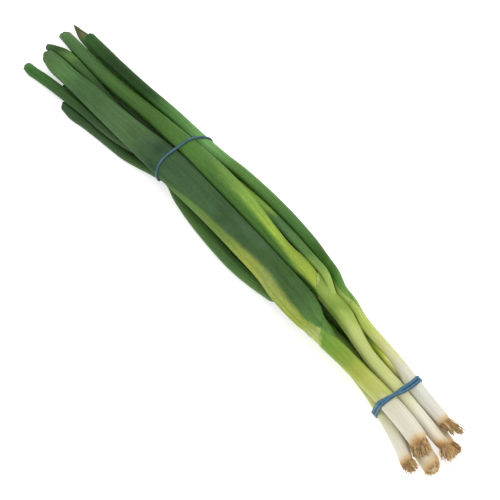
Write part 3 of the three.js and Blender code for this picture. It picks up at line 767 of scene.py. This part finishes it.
def build_strand(strand):
    """The visible skin of a stem or leaf, with closed ends"""
    rows, points, crevice_shade = skin(strand)
    faces = tube_faces(len(points), SIDES)
    first = list(range(SIDES))
    last = [(len(points) - 1) * SIDES + i for i in first]
    faces += [first, last[::-1]]
    dry = "dry" in TIPS.get(strand.node, {})
    kind = "stem" if strand.stem else "dry_leaf" if dry else "leaf"
    material = strand_material(strand.node + "_skin", LOOKS.get(strand.node, DEFAULT_LOOK), kind)
    marks = {
        "grain": grain_of(strand, rows, points).reshape(-1, 3),
        "along": points[..., 0] * MM,
        "tone": tone_of(strand, points[..., 0]),
        "rim": near_edge(strand, rows),
        "wax": (1 - ease(points[..., 0], 60.0, 120.0)) * WAX.get(strand.node, USUAL_WAX),
        "base": base_of(strand, points),
        "crevice_shade": crevice_shade * (1 - ease(points[..., 0], *CREVICE_SHADE_ENDS.get(strand.onion, CREVICE_SHADE_END))),
    }
    make_piece(strand.node + "_skin", points, faces, material, kind, [strand.node], **marks)


# Roots

HAIR_SIDES = 5
HAIR_POINTS = 8
HAIRS = 170
PLATE_RINGS = 7
PLATE_SIDES = 28
DOWN = np.array([0.15, -0.1, -1.0])

TUFTS = {
    # Each onion's roots. lean: the way they grow, as x, y and z. length: their usual length.
    # longer: the side, as y and z, where they are longer. hang: how far they sink at their ends.
    # slant: how much further the white of the stem reaches on its +Y side. long: how many stray ones.
    # fan: how far they spread apart. pale: how much paler they are than most.
    1: {
        "lean": (1, 0.0, 0.05), "length": 8.5, "longer": (0.45, 0.1),
        "hang": 0.4, "slant": 0.1, "long": 3, "fan": 0.06,
    },
    2: {
        "lean": (1, 0.1, 0.1), "length": 5.0, "longer": (0.2, 0.2),
        "hang": 0.5, "slant": 0.2, "long": 0, "fan": 0.2,
    },
    3: {
        "lean": (1, 0, -0.3), "length": 6.0, "longer": (0.1, 0.3),
        "hang": 4.0, "slant": 0.6, "long": 2, "fan": 0.22,
    },
    4: {
        "lean": (1, -0.15, -0.4), "length": 5.2, "longer": (0.1, 0.2),
        "hang": 4.5, "slant": 0.2, "long": 2, "fan": 0.2,
    },
    5: {
        "lean": (1, 0.0, 0.0), "length": 4.2, "longer": (0.3, 0.3),
        "hang": 1.2, "slant": 0.4, "long": 4, "fan": 0.15,
    },
    6: {
        "lean": (1, 0, 0), "length": 2.0, "longer": (0.0, -0.2),
        "hang": 0.6, "slant": 0.0, "long": 2, "fan": 0.2, "pale": 0.5,
    },
    7: {
        "lean": (1, 0, 0), "length": 5.0, "longer": (0.0, 0.0),
        "hang": 1.0, "slant": 0.0, "long": 1, "fan": 0.2,
    },
}  # fmt: skip
CLUMPS = 14  # groups of roots round a stem that grow the same way


def hair_tube(path, radius):
    """Points of a thin tube along a path, row by row"""
    ahead = np.gradient(path, axis=0)
    ahead /= np.linalg.norm(ahead, axis=1, keepdims=True)
    side = np.cross(ahead, [0.13, 0.31, 0.94])
    side /= np.linalg.norm(side, axis=1, keepdims=True)
    up = np.cross(ahead, side)
    turn = 2 * math.pi * np.arange(HAIR_SIDES) / HAIR_SIDES
    around = side[:, None] * np.cos(turn)[None, :, None] + up[:, None] * np.sin(turn)[None, :, None]
    return path[:, None] + around * radius[:, None, None]


def hair_path(draw, base, reach, tuft, clump, stray):
    """A root's middle line, from the plate outward, curling and hanging"""
    length = tuft["length"] * draw.uniform(0.8, 1.1) * clump["length"] * (1.7 if stray else 1.0)
    length *= max(0.35, 1 + float(np.dot(tuft["longer"], reach)))
    u = np.linspace(0, 1, HAIR_POINTS)[:, None]
    out = np.array(tuft["lean"], float) + [0.0, *(reach * tuft["fan"])] + clump["turn"]
    out += draw.normal(0, 0.06, 3)
    out /= np.linalg.norm(out)
    hang = tuft["hang"] * draw.uniform(0.6, 1.3)
    curl = draw.normal(0, 1.0, 3) * (2.2 if stray else 0.5)
    path = base + out * length * u + DOWN * hang * u**1.6
    path = path + curl * np.sin(u * draw.uniform(2.0, 5.0)) * u
    path[:, 2] = np.maximum(path[:, 2], 0.35)
    return path


def root_plate(centre, wide):
    """The domed end of the stem that the roots grow from"""
    turn = 2 * math.pi * np.arange(PLATE_SIDES) / PLATE_SIDES
    dome = np.linspace(0, math.pi / 2, PLATE_RINGS)
    lumps = 1 + 0.06 * np.cos(5 * turn + 1.0) + 0.05 * np.cos(11 * turn)
    size = np.cos(dome * 0.93)[:, None] * lumps[None, :]
    plate = np.empty((PLATE_RINGS, PLATE_SIDES, 3))
    plate[..., 0] = centre[0] - 1.5 + 2.6 * np.sin(dome)[:, None]
    plate[..., 1] = centre[1] + wide[0] * size * np.cos(turn)
    plate[..., 2] = np.maximum(centre[2] + wide[1] * size * np.sin(turn), 0.1)
    return plate


def root_hairs(number, centre, wide):
    """Every root of an onion, as the points of its tube and a shade from 0 to 1"""
    draw = np.random.default_rng(number + 40)
    tuft = TUFTS[number]
    clumps = [
        {"turn": draw.normal(0, 0.13, 3), "length": draw.uniform(0.65, 1.1), "shade": draw.uniform(0, 0.7)}
        for _ in range(CLUMPS)
    ]
    hairs = []
    for k in range(HAIRS):
        angle = draw.uniform(0, 2 * math.pi)
        clump = clumps[int(angle / (2 * math.pi) * CLUMPS)]
        share = math.sqrt(draw.uniform(0.02, 1.0))
        reach = share * np.array([math.cos(angle), math.sin(angle)])
        back = share**4 * draw.uniform(0, 2.6)
        base = centre + np.array([0.9 - 2.2 * share**2 - back, *(reach * (wide + 0.25 * back))])
        stray = k < tuft["long"]
        path = hair_path(draw, base, reach, tuft, clump, stray)
        thick = draw.uniform(0.2, 0.34) * (0.8 if stray else 1.0)
        shade = clump["shade"] + draw.uniform(0, 0.3) + tuft.get("pale", 0.0)
        hairs.append((hair_tube(path, thick * np.linspace(1.15, 0.6, HAIR_POINTS)), shade))
    return hairs


def build_roots(number):
    """A tuft of short dense roots on the hard plate under an onion"""
    stem = strands[STEMS[number]]
    y, z, a, b = section(stem, np.array([stem.end - 1.0]))
    centre = np.array([stem.end - 0.6, y[0], z[0]])
    wide = np.array([a[0], b[0]]) - 1.0
    parts, faces, tone, along, count = [], [], [], [], 0
    tubes = [(root_plate(centre, wide), 0.2), *root_hairs(number, centre, wide)]
    for k, (tube, shade) in enumerate(tubes):
        rows, sides = tube.shape[:2]
        ends = [list(range(sides)), [(rows - 1) * sides + i for i in range(sides)][::-1]]
        faces += [[i + count for i in face] for face in tube_faces(rows, sides) + ends]
        parts.append(tube.reshape(-1, 3))
        tone.append(np.full(rows * sides, shade))
        along.append(np.repeat(np.linspace(0, 1, rows) * (k > 0), sides))
        count += rows * sides
    make_piece(
        f"onion_{number}_roots_fine",
        np.concatenate(parts),
        faces,
        root_material,
        "root",
        [ROOTS[number]],
        tone=np.concatenate(tone),
        along=np.concatenate(along),
    )


def make_root_material():
    """Brown at the plate and paler outward, each root in its own shade, with soil on some"""
    s = Shader("roots_skin")
    here = s.node("ShaderNodeTexCoord").outputs["Object"]
    specks = s.node("ShaderNodeTexNoise", {"Vector": here, "Scale": 900.0, "Detail": 4.0}).outputs["Fac"]
    soil = s.node("ShaderNodeTexNoise", {"Vector": here, "Scale": 240.0, "Detail": 3.0}).outputs["Fac"]
    shade = s.ramp(
        s.mark("tone"),
        [(0.0, rgb("5f3d1c")), (0.4, rgb("a0763f")), (0.75, rgb("caa668")), (1.0, rgb("e8d6ac"))],
    )
    outward = s.ramp(s.mark("along"), [(0.0, rgb("74491f")), (0.35, rgb("b08648")), (1.0, rgb("d8bc86"))])
    colour = s.blend(0.4, shade, outward)
    colour = s.blend(s.spread(soil, 0.5, 0.7, 0.0, 0.6), colour, rgb("5c3f20"))
    colour = s.blend(s.spread(specks, 0.3, 0.7, 0.0, 0.2), colour, rgb("dccaa4"))
    s.put(colour, s.surface.inputs["Base Color"])
    s.put(s.spread(specks, 0.3, 0.7, 0.6, 0.85), s.surface.inputs["Roughness"])
    s.put(s.bump(specks, 0.0001, 0.6), s.surface.inputs["Normal"])
    s.surface.inputs["Subsurface Weight"].default_value = 0.1
    s.surface.inputs["Subsurface Scale"].default_value = 0.001
    return s.material


# Rubber bands

BAND_POINTS = 192
BAND_SIDES = 12
SQUARENESS = 0.6  # a band's section is round at 1 and square near 0
HALF_BUNCH = 18.0
CROSSING = math.radians(115.0)  # where round the bunch two turns change sides
CROSSING_REACH = math.radians(45.0)
OVER_REACH = 0.2  # how far either way, in radians, one turn stands over the other
OVER_HEIGHT = 0.62  # and how high, in thicknesses
BAND_GAP = 0.05  # between a band and the bunch
HULL_SIDES = 48
BANDS = {
    # x: where it stands. slant, bow, middle: how it wanders along the bunch across it, as in its CAD.
    # width, thick: its section. apart: how far each of its turns is from its middle.
    # colours: the rubber, from its darker to its paler places.
    "upper_band": {
        "x": -66.81, "slant": -0.05, "bow": 2.3, "middle": 2.92,
        "width": 1.9, "thick": 1.0, "turns": 1, "apart": 0.0,
        "colours": ("2c5260", "3a6674", "4e8090"),
    },
    "lower_band": {
        "x": 149.47, "slant": 0.08, "bow": -3.0, "middle": -2.58,
        "width": 2.1, "thick": 1.0, "turns": 2, "apart": 1.06,
        "colours": ("2c5a70", "356f8e", "4a86a2"),
    },
}  # fmt: skip


def band_x(band, y):
    """How far along the bunch a band is at y"""
    return band["x"] + band["slant"] * y + band["bow"] * ((y - band["middle"]) / HALF_BUNCH) ** 4


def cross(o, a, b):
    return (a[0] - o[0]) * (b[1] - o[1]) - (a[1] - o[1]) * (b[0] - o[0])


def hull(points):
    """The convex outline of points in a plane, in order"""
    points = sorted(map(tuple, points))

    def chain(ordered):
        kept = []
        for p in ordered:
            while len(kept) > 1 and cross(kept[-2], kept[-1], p) <= 0:
                kept.pop()
            kept.append(p)
        return kept[:-1]

    return np.array(chain(points) + chain(points[::-1]))


def tight_loop(band):
    """A loop pulled tight round the bunch: points of y and z, evenly spaced"""
    gap = band["thick"] / 2 + BAND_GAP
    turn = 2 * math.pi * np.arange(HULL_SIDES) / HULL_SIDES
    around = []
    for strand in strands.values():
        if not strand.start < band["x"] < strand.end:
            continue
        y, z, a, b = section(strand, np.full(HULL_SIDES, band["x"]))
        middle = band_x(band, y + a * np.cos(turn))
        for off in (-1, 0, 1):
            y, z, a, b = section(strand, middle + off * (band["width"] / 2 + band["apart"]))
            ring_z = np.maximum(z + (b + gap) * np.sin(turn), gap)
            around += list(zip(y + (a + gap) * np.cos(turn), ring_z))
    outline = hull(around)
    closed = np.vstack([outline, outline[:1]])
    walked = np.concatenate([[0], np.cumsum(np.linalg.norm(np.diff(closed, axis=0), axis=1))])
    even = np.linspace(0, walked[-1], BAND_POINTS, endpoint=False)
    loop = np.stack([np.interp(even, walked, closed[:, i]) for i in (0, 1)], -1)
    for _ in range(3):
        loop = (np.roll(loop, 1, 0) + 2 * loop + np.roll(loop, -1, 0)) / 4
    return loop


def outward(loop):
    """The direction away from the bunch at each point of a loop"""
    ahead = np.roll(loop, -1, 0) - np.roll(loop, 1, 0)
    out = np.stack([ahead[:, 1], -ahead[:, 0]], -1)
    return out / np.linalg.norm(out, axis=1, keepdims=True)


def ring_faces(rows, sides):
    """The faces of a tube whose ends meet"""
    i = np.arange(rows)[:, None]
    j = np.arange(sides)[None, :]
    i2, j2 = (i + 1) % rows, (j + 1) % sides
    corners = i * sides + j, i2 * sides + j, i2 * sides + j2, i * sides + j2
    return np.stack(np.broadcast_arrays(*corners), -1).reshape(-1, 4)


def build_band(node):
    """One turn, or two side by side that cross on top of the bunch and change back underneath"""
    band = BANDS[node]
    loop = tight_loop(band)
    out = outward(loop)
    centre = loop.mean(0)
    place = np.arctan2(loop[:, 1] - centre[1], loop[:, 0] - centre[0])
    from_crossing = np.angle(np.exp(1j * (place - CROSSING)))
    swap = np.sin(np.clip(from_crossing / CROSSING_REACH, -1, 1) * math.pi / 2)
    over = np.exp(-((from_crossing / OVER_REACH) ** 2)) * band["thick"] * OVER_HEIGHT
    turn = 2 * math.pi * np.arange(BAND_SIDES) / BAND_SIDES
    wide = np.sign(np.cos(turn)) * np.abs(np.cos(turn)) ** SQUARENESS
    high = np.sign(np.sin(turn)) * np.abs(np.sin(turn)) ** SQUARENESS
    parts, faces = [], []
    for k in range(band["turns"]):
        side = 1 - 2 * k
        lift = (out * over[:, None] * k)[:, None]
        x = band_x(band, loop[:, :1]) + (side * band["apart"] * swap)[:, None] + band["width"] / 2 * wide
        rise = (out * band["thick"] / 2)[:, None] * high[None, :, None]
        ring = np.concatenate([x[..., None], loop[:, None] + lift + rise], -1)
        faces += (ring_faces(BAND_POINTS, BAND_SIDES) + k * BAND_POINTS * BAND_SIDES).tolist()
        parts.append(ring.reshape(-1, 3))
    grain = np.stack(np.broadcast_arrays(wide, high * 0.5, np.arange(BAND_POINTS)[:, None] * 0.9), -1)
    make_piece(
        node + "_rubber",
        np.concatenate(parts),
        faces,
        make_band_material(node, band["colours"]),
        "band",
        [node],
        grain=np.concatenate([grain.reshape(-1, 3)] * band["turns"]) * MM,
        across=np.tile(np.abs(wide), BAND_POINTS * band["turns"]),
    )


def make_band_material(node, colours):
    """Blue rubber, with painted shade darkening its edges, which leaves it paler along its middle as a
    painted highlight
    """
    s = Shader(node + "_skin")
    cloud = s.noise(0.35 * FINE, 3.0, 0.6)
    streaks = s.noise(1.6 * FINE, 3.0, 0.6, (1.0, 1.0, 0.15))
    colour = s.ramp(cloud, [(0.3, rgb(colours[0])), (0.5, rgb(colours[1])), (0.7, rgb(colours[2]))])
    # painted shade: the rubber darkens towards the edges of its section, as if lit along its middle
    edge = s.spread(s.mark("across"), 0.2, 0.9, 0.0, 0.85)
    colour = s.blend(edge, colour, rgb("16303f"))
    colour = s.blend(s.spread(streaks, 0.3, 0.8, 0.0, 0.3), colour, rgb("2a4c60"))
    s.put(colour, s.surface.inputs["Base Color"])
    s.put(s.spread(cloud, 0.3, 0.7, 0.45, 0.62), s.surface.inputs["Roughness"])
    s.put(s.bump(streaks, 0.00006, 0.4), s.surface.inputs["Normal"])
    s.surface.inputs["Subsurface Weight"].default_value = 0.08
    s.surface.inputs["Subsurface Scale"].default_value = 0.001
    return s.material


for one in strands.values():
    build_strand(one)
root_material = make_root_material()
for number in ONIONS:
    build_roots(number)
for node in BANDS:
    build_band(node)


# The table, the light and the camera


def make_floor():
    mesh = bpy.data.meshes.new("table_top")
    corners = [(x * TABLE_REACH, y * TABLE_REACH, 0) for x, y in ((-1, -1), (1, -1), (1, 1), (-1, 1))]
    mesh.from_pydata(corners, [], [[0, 1, 2, 3]])
    s = Shader("table_paint")
    here = s.node("ShaderNodeTexCoord").outputs["Object"]
    faint = s.node("ShaderNodeTexNoise", {"Vector": here, "Scale": 6.0, "Detail": 2.0}).outputs["Fac"]
    s.put(s.ramp(faint, [(0.3, rgb("f9f9f9")), (0.7, rgb("fdfdfd"))]), s.surface.inputs["Base Color"])
    s.surface.inputs["Roughness"].default_value = 0.9
    s.surface.inputs["Specular IOR Level"].default_value = 0.0
    s.surface.inputs["Emission Color"].default_value = (1.0, 1.0, 1.0, 1.0)
    s.surface.inputs["Emission Strength"].default_value = TABLE_GLOW
    mesh.materials.append(s.material)
    floor = bpy.data.objects.new("table_top", mesh)
    bpy.context.scene.collection.objects.link(floor)


def make_sky(strength):
    world = bpy.data.worlds.new("studio")
    world.use_nodes = True
    background = world.node_tree.nodes["Background"]
    background.inputs["Color"].default_value = (1, 1, 1, 1)
    background.inputs["Strength"].default_value = strength
    bpy.context.scene.world = world


def make_lamp(name, azimuth, elevation, distance, size, power):
    """A square soft lamp that looks at the middle of the bunch"""
    light = bpy.data.lights.new(name, "AREA")
    light.size = size
    light.energy = power
    lamp = bpy.data.objects.new(name, light)
    back = away(azimuth, elevation)
    lamp.location = back * distance
    lamp.rotation_mode = "QUATERNION"
    lamp.rotation_quaternion = (-back).to_track_quat("-Z", "Y")
    bpy.context.scene.collection.objects.link(lamp)


def away(azimuth, elevation):
    """The direction from the object to a camera or lamp at these angles, in degrees"""
    a, e = math.radians(azimuth), math.radians(elevation)
    return Vector((math.sin(a) * math.cos(e), -math.cos(a) * math.cos(e), math.sin(e)))


def make_camera():
    data = bpy.data.cameras.new("camera")
    camera = bpy.data.objects.new("camera", data)
    back = away(CAMERA_AZIMUTH, CAMERA_ELEVATION)
    camera.location = (Vector(CAMERA_TARGET) + back * CAMERA_DISTANCE) * MM
    camera.rotation_mode = "QUATERNION"
    camera.rotation_quaternion = (-back).to_track_quat("-Z", "Y")
    data.sensor_width = SENSOR
    data.lens = SENSOR * CAMERA_DISTANCE / SCALE_AT_TARGET / PICTURE_SIDE
    data.shift_x = (PICTURE_SIDE / 2 - TARGET_PIXEL[0]) / PICTURE_SIDE
    data.shift_y = (TARGET_PIXEL[1] - PICTURE_SIDE / 2) / PICTURE_SIDE
    data.clip_start, data.clip_end = 0.01, 20.0
    bpy.context.scene.collection.objects.link(camera)
    bpy.context.scene.camera = camera


make_floor()
make_sky(SKY)
make_lamp("key", **KEY_LAMP)
make_camera()
bpy.context.scene.view_settings.view_transform = "Standard"
